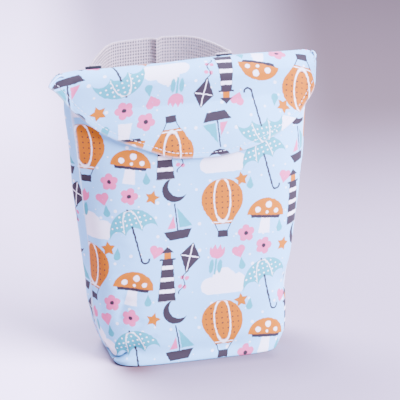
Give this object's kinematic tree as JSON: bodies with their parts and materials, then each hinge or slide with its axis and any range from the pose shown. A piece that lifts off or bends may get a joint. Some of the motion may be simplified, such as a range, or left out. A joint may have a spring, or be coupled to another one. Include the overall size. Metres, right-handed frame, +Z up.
{
  "type": "diaper storage bag",
  "caption": "Soft printed cloth pouch with a boxed base, a D-shaped flap folded over its mouth and a webbing grab handle on the back.",
  "frame": {"origin": "middle of the base's underside, on the surface the bag stands on", "axes": "+X to the right seen from the front, +Y to the back where the handle is, +Z up"},
  "size_m": [0.2136, 0.1253, 0.236],
  "materials": {
    "printed_cloth": "pale blue woven polyester with a small scattered print",
    "webbing": "grey plain-woven webbing",
    "hook_tape": "black hook-and-loop tape"
  },
  "bodies": {
    "root": {"front_panel": "printed_cloth", "back_panel": "printed_cloth", "base_panel": "printed_cloth", "flap": "printed_cloth", "handle_strap": "webbing", "hook_pad_left": "hook_tape", "hook_pad_right": "hook_tape"}
  },
  "joints": []
}
